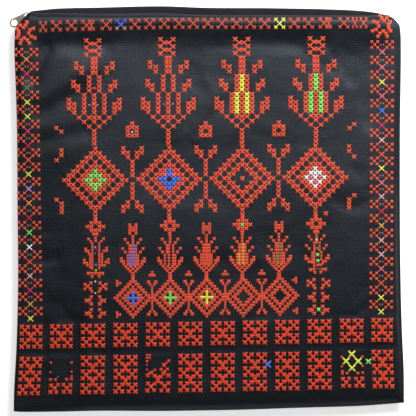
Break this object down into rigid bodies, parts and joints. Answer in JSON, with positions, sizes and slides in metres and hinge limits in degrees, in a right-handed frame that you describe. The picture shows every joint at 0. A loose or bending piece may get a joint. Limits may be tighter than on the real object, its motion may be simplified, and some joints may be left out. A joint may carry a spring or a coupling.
{
  "type": "embroidered zipper pouch",
  "caption": "Flat square cloth pouch lying on its back, cross-stitched front panel, closed coil zipper along one edge with a metal pull that swings on its slider.",
  "frame": {"origin": "middle of the back panel's outer face, where the pouch rests", "axes": "+Z out of the embroidered front, +Y towards the zipper edge, +X to the right as the front is seen"},
  "size_m": [0.3022, 0.3108, 0.0198],
  "materials": {
    "sateen": "satin",
    "tape": "matte",
    "coil": "satin",
    "nickel": "satin"
  },
  "bodies": {
    "pouch": {"front_panel": "sateen", "back_panel": "sateen", "zipper_tape_front": "tape", "zipper_tape_back": "tape", "zipper_coil": "coil", "slider": "nickel"},
    "pull": {"pull_tab": "nickel"}
  },
  "joints": [
    {"name": "pull_swing", "type": "hinge", "parent": "pouch", "child": "pull", "pos_m": [-0.13775, 0.14977, 0.0018], "axis": [0.5255, -0.8508, 0], "range_deg": [0, 170]}
  ]
}
